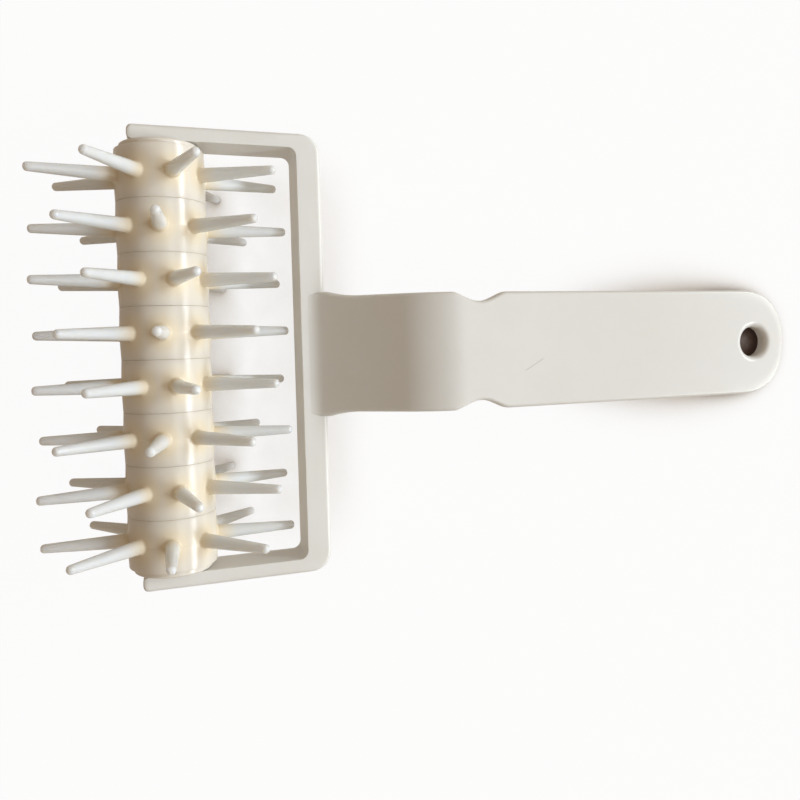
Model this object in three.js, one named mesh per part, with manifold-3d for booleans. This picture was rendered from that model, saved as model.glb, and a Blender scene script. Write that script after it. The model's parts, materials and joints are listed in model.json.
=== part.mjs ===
// Dough docker: a roller of spiked rings that spins in a moulded yoke with a raised flat handle.
// Millimetres, +Z up. The tool lies on a table, on its spikes and on the end of its handle:
// +X runs from the roller to the handle, +Y along the roller, and the origin is under its middle.
import * as THREE from "three";
import { mergeVertices } from "three/addons/utils/BufferGeometryUtils.js";
import Module from "manifold-3d";

// Clearance between every two pieces that turn, slide or stack on each other
const GAP = 0.3;

// Spiked rings
const RING_COUNT = 8;
const RING_WIDTH = 14;
const RING_RADIUS = 12.15; // at the parting line, half-way along the ring
const RING_DRAFT = 0.3; // how much smaller the radius is at both ends
const RING_CHAMFER = 0.25;
const SPIKES_PER_RING = 8;
const SPIKE_REACH = 34; // from the roller's axis to the tip
const SPIKE_ROOT_RADIUS = 2;
const SPIKE_TIP_RADIUS = 1.2;
const SPIKE_TIP_ROUND = 1;
const SPIKE_FILLET = 0.5;

// Six-sided core shaft that turns the rings together, and its round journals
const CORE_SIDES = 6;
const CORE_ACROSS_FLATS = 9;
const JOURNAL_RADIUS = 3;
const JOURNAL_RECESS = 0.3; // the journal ends this far inside the arm's outer face

// The roller stands on two rows of spikes, this many degrees to each side of straight down
const STAND_ANGLE = 15;
// Each ring's lean on the core, as a share of the free turn that the loose six-sided bore allows
const RING_LEAN = [0.225, -0.015, 0.035, -0.175, -0.215, -0.745, -0.265, 0.115];

// End collars between the ring stack and the arms
const COLLAR_RADIUS = 10.6;
const COLLAR_THICKNESS = 1.45;
const COLLAR_CHAMFER = 0.4;

// Yoke: two arms and the bar that joins them
const ARM_THICKNESS = 4.1;
const YOKE_DEPTH = 13.2;
const ARM_TAIL = 8.2; // how far an arm runs past the roller's axis
const ARM_END_ROUND = 1.4;
const SPIKE_TO_BAR = 2.85;
const BAR_WIDTH = 7.05;
const OUTER_CORNER = 5.8;
const INNER_CORNER = 2.4;
const YOKE_EDGE = 0.8;

// Handle: a flat strip that rises from the bar in a gooseneck and runs on parallel to the yoke
const HANDLE_WIDTH = 33.2;
const HANDLE_THICKNESS = 3.6;
const HANDLE_EDGE = 0.9;
const HANDLE_REACH = 191; // from the roller's axis to the end of the handle
const GRIP_RISE = 20.7; // grip's top face above the yoke's top face
const NECK_ANGLE = 35;
const NECK_SETBACK = 2.2; // from the bar's inner face to where the gooseneck starts to rise
const NECK_FOOT_RADIUS = 6;
const NECK_CROWN_RADIUS = 30;
const FLARE = 1.4; // extra half-width where the strip meets the bar's outer face
const FLARE_LENGTH = 8;
const WAIST_REACH = 83.9; // from the roller's axis to the middle of the waist
const WAIST_LENGTH = 16;
const WAIST_DEPTH = 2.6;
const WAIST_SHARPNESS = 1.4; // 1 is a cosine notch, more is narrower at its mouth
const END_LENGTH = 16.5; // length of the rounded end
const END_FULLNESS = 2.4; // 2 is an ellipse, more is squarer
const END_FLAT = 2; // half-width of the small flat at the very end
const HOLE_RADIUS = 4.7;
const HOLE_TO_END = 11.7;
const HOLE_CHAMFER = 1.1; // at the top face only

// Facets
const RING_SEGMENTS = 32;
const SPIKE_SEGMENTS = 8;
const BORE_SEGMENTS = 24;
const CORNER_SEGMENTS = 3;
const EDGE_SEGMENTS = 2;
const NECK_STATIONS = 24;
const END_STATIONS = 9;

// Allowances for joining and cutting
const OVERSHOOT = 1; // how far a cutter runs past the face that it cuts
const SINK = 0.02; // how far a joined piece starts under the face that it grows from
const WELD = 1e-4; // points closer than this are one point

// Material
const PLASTIC = { color: 0xe4dfd4, roughness: 0.32, metalness: 0 };

// Places that follow from the sizes
const ringPitch = RING_WIDTH + GAP;
const stackHalf = (RING_COUNT * ringPitch - GAP) / 2;
const collarInner = stackHalf + GAP;
const collarOuter = collarInner + COLLAR_THICKNESS;
const armInner = collarOuter + GAP;
const armOuter = armInner + ARM_THICKNESS;
const barInner = SPIKE_REACH + SPIKE_TO_BAR;
const barOuter = barInner + BAR_WIDTH;
const yokeTop = YOKE_DEPTH / 2;
const gripTop = yokeTop + GRIP_RISE - SINK;
const gripUnder = gripTop - HANDLE_THICKNESS;
const neckAngle = THREE.MathUtils.degToRad(NECK_ANGLE);
const ringEndRadius = RING_RADIUS - RING_DRAFT;
const boreAcrossFlats = CORE_ACROSS_FLATS + 2 * GAP;
const spikePitch = 360 / SPIKES_PER_RING;
const flatTurn = 360 / CORE_SIDES;

const wasm = await Module();
wasm.setup();

// A closed three.js geometry as a solid that can be joined and cut
function solid(geometry) {
  const bare = geometry.clone();
  bare.deleteAttribute("normal");
  bare.deleteAttribute("uv");
  const merged = mergeVertices(bare, WELD);
  return new wasm.Manifold(
    new wasm.Mesh({
      numProp: 3,
      vertProperties: merged.attributes.position.array,
      triVerts: new Uint32Array(merged.index.array),
    }),
  );
}

// A solid as a three.js geometry
function geometryOf(made) {
  const mesh = made.getMesh();
  const geometry = new THREE.BufferGeometry();
  geometry.setAttribute("position", new THREE.BufferAttribute(mesh.vertProperties, 3));
  geometry.setIndex(new THREE.BufferAttribute(mesh.triVerts, 1));
  geometry.computeVertexNormals();
  return geometry;
}

// A turned shape about Y from [radius, height] pairs that start and end on the axis
function turned(pairs, segments) {
  const profile = pairs.map(([radius, height]) => new THREE.Vector2(radius, height));
  return new THREE.LatheGeometry(profile, segments);
}

// Corner radius of a regular bar with the core's number of sides
function cornerRadius(acrossFlats) {
  return acrossFlats / 2 / Math.cos(Math.PI / CORE_SIDES);
}

// A bar along Y with the core's number of sides, with a corner towards +Z
function sidedBar(acrossFlats, length) {
  const corner = cornerRadius(acrossFlats);
  return new THREE.CylinderGeometry(corner, corner, length, CORE_SIDES);
}

// The bore's free turn on the core, in degrees each way, before a corner meets a flat
function boreSlack() {
  const touching = Math.acos(Math.min(1, boreAcrossFlats / 2 / cornerRadius(CORE_ACROSS_FLATS)));
  return THREE.MathUtils.radToDeg(Math.PI / CORE_SIDES - touching);
}

// One tapered spike along Y: buried foot, root fillet, taper and a rounded tip
function spikeGeometry() {
  const footRadius = SPIKE_ROOT_RADIUS + SPIKE_FILLET;
  const facetRadius = ringEndRadius * Math.cos(Math.PI / RING_SEGMENTS);
  const footLevel = Math.sqrt(facetRadius ** 2 - footRadius ** 2) - SINK;
  const buriedLevel = (cornerRadius(boreAcrossFlats) + footLevel) / 2;
  const soft = SPIKE_TIP_ROUND * (1 - Math.SQRT1_2);
  return turned(
    [
      [0, buriedLevel],
      [footRadius, buriedLevel],
      [footRadius, footLevel],
      [SPIKE_ROOT_RADIUS, RING_RADIUS + SPIKE_FILLET],
      [SPIKE_TIP_RADIUS, SPIKE_REACH - SPIKE_TIP_ROUND],
      [SPIKE_TIP_RADIUS - soft, SPIKE_REACH - soft],
      [SPIKE_TIP_RADIUS - SPIKE_TIP_ROUND, SPIKE_REACH],
      [0, SPIKE_REACH],
    ],
    SPIKE_SEGMENTS,
  );
}

// A ring: drafted both ways from its parting line, ringed with spikes, on a six-sided bore
function ringGeometry() {
  const end = RING_WIDTH / 2;
  let ring = solid(
    turned(
      [
        [0, -end],
        [ringEndRadius - RING_CHAMFER, -end],
        [ringEndRadius, RING_CHAMFER - end],
        [RING_RADIUS, 0],
        [ringEndRadius, end - RING_CHAMFER],
        [ringEndRadius - RING_CHAMFER, end],
        [0, end],
      ],
      RING_SEGMENTS,
    ),
  );
  for (let i = 0; i < SPIKES_PER_RING; i += 1) {
    const spike = spikeGeometry().rotateX(Math.PI / 2);
    spike.rotateY(THREE.MathUtils.degToRad(i * spikePitch));
    ring = ring.add(solid(spike));
  }
  const bore = sidedBar(boreAcrossFlats, RING_WIDTH + 2 * OVERSHOOT);
  return geometryOf(ring.subtract(solid(bore)));
}

// An end collar: a thin disc on the core's six sides, chamfered towards the arm
function collarGeometry() {
  const disc = turned(
    [
      [0, 0],
      [COLLAR_RADIUS, 0],
      [COLLAR_RADIUS, COLLAR_THICKNESS - COLLAR_CHAMFER],
      [COLLAR_RADIUS - COLLAR_CHAMFER, COLLAR_THICKNESS],
      [0, COLLAR_THICKNESS],
    ],
    RING_SEGMENTS,
  );
  const bore = sidedBar(boreAcrossFlats, 2 * (COLLAR_THICKNESS + OVERSHOOT));
  return geometryOf(solid(disc).subtract(solid(bore)));
}

// The core: six-sided through the collars and rings, round in the arms
function coreGeometry() {
  const journalEnd = armOuter - JOURNAL_RECESS;
  const bar = sidedBar(CORE_ACROSS_FLATS, 2 * collarOuter);
  const journals = new THREE.CylinderGeometry(JOURNAL_RADIUS, JOURNAL_RADIUS, 2 * journalEnd, BORE_SEGMENTS);
  return geometryOf(solid(bar).add(solid(journals)));
}

// The yoke seen from above: a U whose mouth faces -X
function yokeOutline() {
  const tail = -ARM_TAIL;
  const quarter = Math.PI / 2;
  const shape = new THREE.Shape();
  shape.moveTo(tail + ARM_END_ROUND, -armOuter);
  shape.absarc(barOuter - OUTER_CORNER, -armOuter + OUTER_CORNER, OUTER_CORNER, -quarter, 0);
  shape.absarc(barOuter - OUTER_CORNER, armOuter - OUTER_CORNER, OUTER_CORNER, 0, quarter);
  shape.absarc(tail + ARM_END_ROUND, armOuter - ARM_END_ROUND, ARM_END_ROUND, quarter, 2 * quarter);
  shape.absarc(tail + ARM_END_ROUND, armInner + ARM_END_ROUND, ARM_END_ROUND, 2 * quarter, 3 * quarter);
  shape.absarc(barInner - INNER_CORNER, armInner - INNER_CORNER, INNER_CORNER, quarter, 0, true);
  shape.absarc(barInner - INNER_CORNER, -armInner + INNER_CORNER, INNER_CORNER, 0, -quarter, true);
  shape.absarc(tail + ARM_END_ROUND, -armInner - ARM_END_ROUND, ARM_END_ROUND, quarter, 2 * quarter);
  shape.absarc(tail + ARM_END_ROUND, -armOuter + ARM_END_ROUND, ARM_END_ROUND, 2 * quarter, 3 * quarter);
  return shape;
}

// The U raised to the yoke's depth, with rounded edges
function yokeGeometry() {
  const geometry = new THREE.ExtrudeGeometry(yokeOutline(), {
    depth: YOKE_DEPTH - 2 * YOKE_EDGE,
    bevelSize: YOKE_EDGE,
    bevelThickness: YOKE_EDGE,
    bevelOffset: -YOKE_EDGE,
    bevelSegments: EDGE_SEGMENTS,
    curveSegments: CORNER_SEGMENTS,
  });
  return geometry.translate(0, 0, YOKE_EDGE - YOKE_DEPTH / 2);
}

// Side view of the handle's top face: foot arc, straight slope, crown arc, then level
const neck = {};
neck.footStart = barInner + NECK_SETBACK;
neck.footEnd = neck.footStart + NECK_FOOT_RADIUS * Math.sin(neckAngle);
neck.footRise = NECK_FOOT_RADIUS * (1 - Math.cos(neckAngle));
neck.crownRise = NECK_CROWN_RADIUS * (1 - Math.cos(neckAngle));
neck.slopeRise = GRIP_RISE - neck.footRise - neck.crownRise;
neck.crownStart = neck.footEnd + neck.slopeRise / Math.tan(neckAngle);
neck.crownEnd = neck.crownStart + NECK_CROWN_RADIUS * Math.sin(neckAngle);

// Slope angle of the top face at x
function slopeAt(x) {
  if (x < neck.footEnd) return Math.asin((x - neck.footStart) / NECK_FOOT_RADIUS);
  if (x < neck.crownStart) return neckAngle;
  if (x < neck.crownEnd) return Math.asin((neck.crownEnd - x) / NECK_CROWN_RADIUS);
  return 0;
}

// Height of the top face at x, above the yoke's top face
function riseAt(x) {
  const slope = slopeAt(x);
  if (x < neck.footEnd) return NECK_FOOT_RADIUS * (1 - Math.cos(slope));
  if (x < neck.crownStart) return neck.footRise + (x - neck.footEnd) * Math.tan(neckAngle);
  return GRIP_RISE - NECK_CROWN_RADIUS * (1 - Math.cos(slope));
}

// Half-width of the strip at x, up to where the rounded end starts: flared at the bar, drawn in at the waist
function halfWidthAt(x) {
  const toBar = THREE.MathUtils.clamp((barOuter + FLARE_LENGTH - x) / FLARE_LENGTH, 0, 1);
  const toWaist = Math.min(1, Math.abs(x - WAIST_REACH) / (WAIST_LENGTH / 2));
  const notch = WAIST_DEPTH * Math.cos((toWaist * Math.PI) / 2) ** WAIST_SHARPNESS;
  return HANDLE_WIDTH / 2 + FLARE * toBar ** 2 - notch;
}

// One cross-section of the strip: a rectangle with rounded edges, square to the top face at x
function handleSection(x, halfWidth) {
  const slope = slopeAt(x);
  const top = new THREE.Vector3(x, 0, yokeTop + riseAt(x) - SINK);
  const down = new THREE.Vector3(Math.sin(slope), 0, -Math.cos(slope));
  const across = new THREE.Vector3(0, 1, 0);
  const edge = Math.min(HANDLE_EDGE, halfWidth / 2);
  const soft = edge * (1 - Math.SQRT1_2);
  const corner = [
    [edge, 0],
    [soft, soft],
    [0, edge],
  ];
  const upper = corner.map(([inset, depth]) => [halfWidth - inset, depth]);
  const lower = corner.map(([inset, depth]) => [halfWidth - inset, HANDLE_THICKNESS - depth]).reverse();
  const right = [...upper, ...lower];
  const left = right.map(([y, depth]) => [-y, depth]).reverse();
  return [...right, ...left].map(([y, depth]) =>
    top.clone().addScaledVector(across, y).addScaledVector(down, depth),
  );
}

// Cross-sections along the handle: evenly through the neck and waist, then round the end
function handleSections() {
  const endStart = HANDLE_REACH - END_LENGTH;
  const shapedEnd = Math.max(neck.crownEnd, WAIST_REACH + WAIST_LENGTH / 2);
  const sections = [];
  for (let i = 0; i <= NECK_STATIONS; i += 1) {
    const x = THREE.MathUtils.lerp(neck.footStart, shapedEnd, i / NECK_STATIONS);
    sections.push(handleSection(x, halfWidthAt(x)));
  }
  for (let i = 0; i <= END_STATIONS; i += 1) {
    const angle = (i / END_STATIONS) * (Math.PI / 2);
    const along = END_LENGTH * Math.sin(angle) ** (2 / END_FULLNESS);
    const share = Math.max(0, Math.cos(angle)) ** (2 / END_FULLNESS);
    sections.push(handleSection(endStart + along, Math.max(END_FLAT, (HANDLE_WIDTH / 2) * share)));
  }
  return sections;
}

// A loft: rings of points joined in order, with both ends closed
function loft(sections) {
  const count = sections[0].length;
  const points = sections.flat();
  const index = [];
  for (let s = 0; s + 1 < sections.length; s += 1) {
    for (let i = 0; i < count; i += 1) {
      const a = s * count + i;
      const b = s * count + ((i + 1) % count);
      index.push(a, a + count, b, b, a + count, b + count);
    }
  }
  const last = (sections.length - 1) * count;
  for (let i = 1; i + 1 < count; i += 1) {
    index.push(0, i, i + 1, last, last + i + 1, last + i);
  }
  const geometry = new THREE.BufferGeometry().setFromPoints(points);
  geometry.setIndex(index);
  return geometry;
}

// A cutter for the hanging hole, chamfered at the grip's top face
function holeCutter() {
  const cutter = turned(
    [
      [0, -HANDLE_THICKNESS - OVERSHOOT],
      [HOLE_RADIUS, -HANDLE_THICKNESS - OVERSHOOT],
      [HOLE_RADIUS, -HOLE_CHAMFER],
      [HOLE_RADIUS + HOLE_CHAMFER + OVERSHOOT, OVERSHOOT],
      [0, OVERSHOOT],
    ],
    BORE_SEGMENTS,
  );
  cutter.rotateX(Math.PI / 2);
  return cutter.translate(HANDLE_REACH - HOLE_TO_END, 0, gripTop);
}

// Yoke, gooseneck and handle as one moulding, with the journals' bores and the hanging hole
function mouldingGeometry() {
  const bore = JOURNAL_RADIUS + GAP;
  const bores = new THREE.CylinderGeometry(bore, bore, 2 * (armOuter + OVERSHOOT), BORE_SEGMENTS);
  const moulding = solid(yokeGeometry()).add(solid(loft(handleSections())));
  return geometryOf(moulding.subtract(solid(bores)).subtract(solid(holeCutter())));
}

function piece(name, geometry) {
  const mesh = new THREE.Mesh(geometry, new THREE.MeshStandardMaterial(PLASTIC));
  mesh.name = name;
  return mesh;
}

// Roller: rings alternate by one flat of the core, which staggers their spikes
function roller() {
  const group = new THREE.Group();
  const ring = ringGeometry();
  const slack = boreSlack();
  for (let i = 0; i < RING_COUNT; i += 1) {
    const mesh = piece(`spike_ring_${i + 1}`, ring);
    const lean = slack * RING_LEAN[i % RING_LEAN.length];
    mesh.rotation.y = THREE.MathUtils.degToRad(lean - STAND_ANGLE - (i % 2) * flatTurn);
    mesh.position.y = stackHalf - RING_WIDTH / 2 - i * ringPitch;
    group.add(mesh);
  }
  const core = piece("core_shaft", coreGeometry());
  core.rotation.y = THREE.MathUtils.degToRad(-STAND_ANGLE);
  group.add(core);
  const collar = collarGeometry();
  [1, -1].forEach((side, i) => {
    const mesh = piece(`end_collar_${i + 1}`, collar);
    mesh.rotation.y = core.rotation.y;
    mesh.rotation.z = side > 0 ? 0 : Math.PI;
    mesh.position.y = side * collarInner;
    group.add(mesh);
  });
  return group;
}

// The yoke leans until the end of the handle is as low as the lowest spike
function restAngle(lowestSpike) {
  const toEnd = Math.hypot(HANDLE_REACH, gripUnder);
  return Math.asin(lowestSpike / toEnd) + Math.atan2(gripUnder, HANDLE_REACH);
}

const rollerGroup = roller();
const yokeGroup = new THREE.Group();
yokeGroup.add(piece("yoke_handle", mouldingGeometry()));
yokeGroup.rotation.y = restAngle(-new THREE.Box3().setFromObject(rollerGroup, true).min.z);

const assembly = new THREE.Group();
assembly.add(yokeGroup, rollerGroup);
const box = new THREE.Box3().setFromObject(assembly, true);
const middle = box.getCenter(new THREE.Vector3());
assembly.position.set(-middle.x, -middle.y, -box.min.z);

const docker = new THREE.Group();
docker.add(assembly);

export default docker;
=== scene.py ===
"""Dough docker: spiked rings on a core shaft, spinning in a moulded yoke with a raised flat handle."""
import json
import math

import bmesh
import bpy
import numpy as np
from bpy.props import FloatProperty, FloatVectorProperty, IntProperty, PointerProperty
from mathutils import Euler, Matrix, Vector


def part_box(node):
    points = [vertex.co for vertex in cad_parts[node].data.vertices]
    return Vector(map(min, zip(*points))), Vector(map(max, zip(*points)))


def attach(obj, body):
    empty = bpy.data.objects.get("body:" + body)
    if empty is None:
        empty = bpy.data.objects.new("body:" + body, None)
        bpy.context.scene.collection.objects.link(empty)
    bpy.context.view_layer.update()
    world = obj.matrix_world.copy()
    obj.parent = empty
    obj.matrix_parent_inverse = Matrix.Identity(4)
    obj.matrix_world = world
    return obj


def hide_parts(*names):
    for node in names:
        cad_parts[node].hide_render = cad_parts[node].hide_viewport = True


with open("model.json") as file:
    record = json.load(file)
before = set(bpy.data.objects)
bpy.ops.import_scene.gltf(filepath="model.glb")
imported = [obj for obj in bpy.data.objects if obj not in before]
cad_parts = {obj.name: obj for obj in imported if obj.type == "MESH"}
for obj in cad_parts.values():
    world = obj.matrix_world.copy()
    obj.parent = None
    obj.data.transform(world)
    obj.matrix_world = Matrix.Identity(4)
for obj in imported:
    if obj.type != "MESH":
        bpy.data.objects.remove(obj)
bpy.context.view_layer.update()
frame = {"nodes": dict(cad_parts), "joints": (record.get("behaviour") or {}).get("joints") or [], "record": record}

bl_info = {
    "name": "Dough Docker",
    "version": (1, 0, 0),
    "blender": (4, 5, 0),
    "location": "View3D > Sidebar > Dough Docker",
    "description": "Builds a moulded plastic dough docker around its packed model",
    "category": "Add Mesh",
}

MM = 0.001
WELD = 1.3e-7  # points closer than this are one point
SMOOTH_UNDER = math.radians(38)  # faces that meet at less are shaded as one
HOLD = 0.2 * MM  # strip of a flat face beside a rounded edge, which keeps its shading flat
FINE_HOLD = 0.1 * MM  # the same beside a finer edge
NEARLY = 0.13 * MM  # how far rings and collars are widened, to nearly touch
CORE_TURN = math.radians(-15)
FLAT_TURN = math.radians(60)  # from one flat of the six-sided core to the next

# Places and sizes from the packed model

RING_NODES = sorted(n for n in frame["nodes"] if n.startswith("spike_ring_"))
COLLAR_NODES = sorted(n for n in frame["nodes"] if n.startswith("end_collar_"))
AXLE = np.array(frame["joints"][0]["pos_m"])
GRIP_NORMAL = next(m["axis"] for m in frame["record"]["mounts"] if m["name"] == "grip_top")
YOKE_LEAN = math.atan2(GRIP_NORMAL[0], GRIP_NORMAL[2])
ARM_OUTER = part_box("yoke_handle")[1].y
COLLAR_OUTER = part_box(COLLAR_NODES[0])[1].y
COLLAR_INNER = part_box(COLLAR_NODES[0])[0].y
RING_HALF = (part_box(RING_NODES[0])[1].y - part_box(RING_NODES[0])[0].y) / 2

# Settings


def length(name, description, default):
    return FloatProperty(name=name, description=description, default=default, unit="LENGTH", precision=5)


def share(name, description, default):
    return FloatProperty(name=name, description=description, default=default, subtype="FACTOR", min=0, max=1)


def number(name, description, default, subtype="NONE"):
    return FloatProperty(name=name, description=description, default=default, subtype=subtype)


def colour(name, description, default):
    return FloatVectorProperty(name=name, description=description, default=default, subtype="COLOR", size=3,
                               min=0, max=1)


def point(name, description, default):
    return FloatVectorProperty(name=name, description=description, default=default, unit="LENGTH")


class DockerRollerSizes(bpy.types.PropertyGroup):
    """Sizes of the rings, collars and core shaft"""
    ring_radius: length("Ring radius", "Radius at the parting line", 12.15 * MM)
    ring_draft: length("Ring draft", "How much smaller the radius is at both ends", 0.3 * MM)
    ring_edge: length("Ring edge", "Rounding of a ring's ends", 0.06 * MM)
    ring_half: length("Ring half-width", "Half-width, almost touching the next ring", RING_HALF + NEARLY)
    spikes: IntProperty(name="Spikes", description="Spikes round each ring", default=8, min=3)
    spike_reach: length("Spike reach", "From the roller's axis to a tip", 34 * MM)
    spike_root: length("Spike root", "Radius just above the root fillet", 2 * MM)
    spike_tip: length("Spike tip", "Radius at the rounded tip", 1.2 * MM)
    tip_round: length("Tip rounding", "Rounding of the tip's rim", 1.0 * MM)
    tip_dome: length("Tip dome", "How far the tip's middle stands up", 0.02 * MM)
    fillet: length("Root fillet", "Fillet between a spike and its ring", 0.5 * MM)
    # The roots' tint is a painted warm shade and glow of light through the plastic, fading up each spike and over
    # the ring
    root_shade_fade: length("Root tint on spikes", "How far the roots' tint runs up a spike", 2.0 * MM)
    root_shade_spread: length("Root tint on rings", "How far the roots' tint spreads over a ring", 2.6 * MM)
    flash: length("Parting ridge", "Height of the fine ridge along the mould's parting line", 0.02 * MM)
    flash_width: length("Parting ridge width", "Half-width of that ridge", 0.13 * MM)
    across_flats: length("Core across flats", "Width of the six-sided core shaft", 9 * MM)
    journal: length("Journal radius", "Radius of the core's round ends", 3 * MM)
    journal_edge: length("Journal edge", "Rounding of the journals' ends", 0.3 * MM)
    journal_end: length("Journal reach", "From the middle to a journal's end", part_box("core_shaft")[1].y)
    fit: length("Fit", "Clearance between the core and what it carries", 0.3 * MM)
    collar_radius: length("Collar radius", "Radius of the end collars", 10.6 * MM)
    collar_edge: length("Collar edge", "Rounding of a collar's outer rim", 0.45 * MM)
    collar_back: length("Collar back edge", "Rounding of a collar's inner rim", 0.15 * MM)


class DockerYokeSizes(bpy.types.PropertyGroup):
    """Sizes of the U-shaped yoke"""
    arm: length("Arm thickness", "Thickness of each arm", 4.1 * MM)
    depth: length("Depth", "Height of the yoke's walls", 13.2 * MM)
    tail: length("Arm tail", "How far an arm runs past the roller's axis", 8.2 * MM)
    end_round: length("Arm end rounding", "Rounding of an arm's end, seen from above", 1.4 * MM)
    end_drop: length("Arm end drop", "How far its end is drawn in above and below", 0.5 * MM)
    bar_inner: length("Bar's inner face", "From the roller's axis to the bar", 36.85 * MM)
    bar_width: length("Bar width", "Width of the bar, seen from above", 7.05 * MM)
    outer_corner: length("Outer corner", "Radius of the outer corners", 5.8 * MM)
    inner_corner: length("Inner corner", "Radius of the inner corners", 2.4 * MM)
    inner_edge: length("Inner edge", "Rounding of the inner edges", 0.2 * MM)
    outer_edge: length("Outer edge", "Rounding of the outer edges", 1.15 * MM)
    bore: length("Bore radius", "Radius of the journals' bores", 3.3 * MM)
    bore_edge: length("Bore edge", "Chamfer at the bores' mouths", 0.25 * MM)


class DockerHandleSizes(bpy.types.PropertyGroup):
    """Sizes of the gooseneck and the flat handle"""
    width: length("Width", "Width of the handle", 33.2 * MM)
    thickness: length("Thickness", "Thickness of the strip", 3.6 * MM)
    edge: length("Edge rounding", "Rounding of the long edges", 1.0 * MM)
    reach: length("Reach", "From the roller's axis to the handle's end", 191 * MM)
    rise: length("Rise", "Grip's top face above the yoke's top face", 20.68 * MM)
    neck_angle: number("Neck angle", "Slope of the gooseneck", math.radians(35), "ANGLE")
    neck_setback: length("Neck setback", "From the bar's inner face to the start of the rise", 2.2 * MM)
    foot_radius: length("Foot radius", "Curve at the bottom of the neck", 6 * MM)
    crown_radius: length("Crown radius", "Curve at the top of the neck", 30 * MM)
    flare: length("Flare", "Extra half-width where the strip meets the bar", 1.4 * MM)
    flare_length: length("Flare length", "Length of the flare", 8 * MM)
    waist_reach: length("Waist reach", "From the roller's axis to the middle of the waist", 83.9 * MM)
    waist_length: length("Waist length", "Length of the waist", 16 * MM)
    waist_depth: length("Waist depth", "How far each side is drawn in", 2.6 * MM)
    waist_sharpness: number("Waist sharpness", "1 is a cosine notch, more is narrower", 1.4)
    end_length: length("End length", "Length of the rounded end", 16.5 * MM)
    end_fullness: number("End fullness", "2 is an ellipse, more is squarer", 2.4)
    hole_radius: length("Hole radius", "Radius of the hanging hole", 4.7 * MM)
    hole_to_end: length("Hole to end", "From the hole's middle to the handle's end", 11.7 * MM)
    hole_lip: length("Hole lip", "Rounding of the hole's upper rim", 1.8 * MM)
    hole_edge: length("Hole edge", "Rounding of the hole's lower rim", 0.25 * MM)


class DockerFinish(bpy.types.PropertyGroup):
    """Colours and finish of the plastic"""
    cream: colour("Cream", "Colour of the yoke and handle", (0.775, 0.775, 0.758))
    ivory: colour("Ivory", "Colour of the rings, collars and core", (0.775, 0.725, 0.650))
    spike: colour("Spike", "Paler tone of the thin spikes", (0.695, 0.733, 0.760))
    # Colour and strength of the painted warm shade and glow round the spikes' roots and in the seams between rings
    root: colour("Root", "Warmer tint of the plastic round the spikes' roots", (0.800, 0.660, 0.410))
    root_shade_share: share("Root tint", "Strength of that tint", 0.5)
    scuff: colour("Scuff", "Colour of rubbed marks and the scratch", (0.530, 0.520, 0.500))
    marks_share: share("Rubbed marks", "Strength of the rubbed marks", 0.06)
    scratch_share: share("Scratch", "Strength of the scratch on the grip", 0.6)
    scratch_start: point("Scratch start", "One end of the scratch", (22.1 * MM, -6.5 * MM, 31.1 * MM))
    scratch_end: point("Scratch end", "The other end of the scratch", (28.9 * MM, -2.5 * MM, 29.0 * MM))
    scratch_width: length("Scratch width", "Half-width of the scratch", 0.24 * MM)
    roughness: share("Roughness", "Roughness of the yoke and handle", 0.30)
    ring_roughness: share("Ring roughness", "Roughness of the rings, collars and core", 0.24)
    translucency: share("Translucency", "Light scattered under the yoke's skin", 0.12)
    ring_translucency: share("Ring translucency", "Light scattered under the rings' skin", 0.25)
    spike_translucency: share("Spike translucency", "Light scattered in the thin spikes", 0.95)
    depth: length("Scatter depth", "How far light spreads in the yoke and handle", 2.6 * MM)
    ring_depth: length("Ring scatter depth", "How far light spreads in the rings, collars and core", 6 * MM)


class DockerStage(bpy.types.PropertyGroup):
    """Camera, lamps and table"""
    camera_place: point("Camera place", "Where the camera stands", (-14.167 * MM, 3.715 * MM, 241.041 * MM))
    camera_turn: FloatVectorProperty(name="Camera turn", description="Camera's turn from straight down",
                                     subtype="EULER", default=(-0.031716, -0.023288, -0.026336))
    focal: number("Focal length", "In image widths", 0.91973)
    shift: FloatVectorProperty(name="Shift", description="Lens shift, in image widths", size=2,
                               default=(-0.01675, -0.04645))
    key_place: point("Key place", "A low lamp past the handle; another mirrors it", (4.56, 1.31, 1.59))
    key_power: number("Key power", "Power of each low lamp", 110, "POWER")
    top_place: point("Top place", "Where the long lamp overhead hangs", (1.48, 0.0, 1.97))
    top_power: number("Top power", "Power of the long lamp overhead", 14.5, "POWER")
    lamp_colour: colour("Lamp colour", "Colour of the lamps", (0.89, 0.96, 1.0))
    fill: colour("Fill", "Colour of the light from all round", (1.0, 0.74, 0.49))
    fill_strength: number("Fill strength", "Strength of the light from all round", 0.29)
    reflected_white: share("Reflected white", "How white the surroundings are in reflections", 0.25)
    table: colour("Table", "Colour of the open table", (0.84, 0.77, 0.68))
    # Dark colour of the painted shadow on the table where things close it in
    table_painted_shadow: colour("Table shade", "Colour of the table where things close it in", (0.16, 0.11, 0.10))


# Shared shape helpers


def grid_quads(rows, cols, closed):
    """Quads of a grid of rows by cols points; with closed, the last column joins the first."""
    r = np.arange(rows - 1)[:, None]
    c = np.arange(cols if closed else cols - 1)
    n = (c + 1) % cols
    return np.stack([r * cols + c, r * cols + n, (r + 1) * cols + n, (r + 1) * cols + c], -1)


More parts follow.
